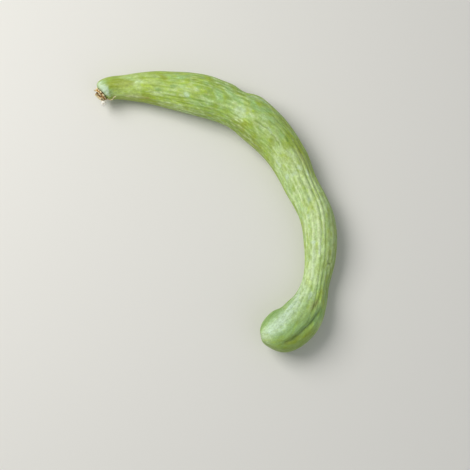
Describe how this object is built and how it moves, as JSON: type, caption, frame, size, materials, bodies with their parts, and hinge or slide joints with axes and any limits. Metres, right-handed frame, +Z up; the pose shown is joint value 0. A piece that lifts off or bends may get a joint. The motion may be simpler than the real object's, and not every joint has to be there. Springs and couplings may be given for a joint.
{
  "type": "armenian cucumber",
  "caption": "Long, curved, ribbed cucumber melon lying on its side, with a narrow neck that keeps dried stalk remains and a blunt, lobed end.",
  "frame": {"origin": "middle of the bounding box's bottom face, on the level surface that the fruit lies on", "axes": "+Z up from the surface; the narrow end with the dried stalk points to -X and lies on the +Y side, and the fruit bends round from there through +X to its blunt end on the -Y side"},
  "size_m": [0.2308, 0.2706, 0.0408],
  "materials": {
    "ribbed_skin": "thin, slightly waxy fruit skin, pale yellow-green with paler rib crests, satin",
    "dried_stalk": "dry, torn, fibrous stalk tissue, tan to rusty brown, matte"
  },
  "bodies": {
    "root": {"ribbed_fruit": "ribbed_skin", "dried_stalk_end": "dried_stalk"}
  },
  "joints": []
}
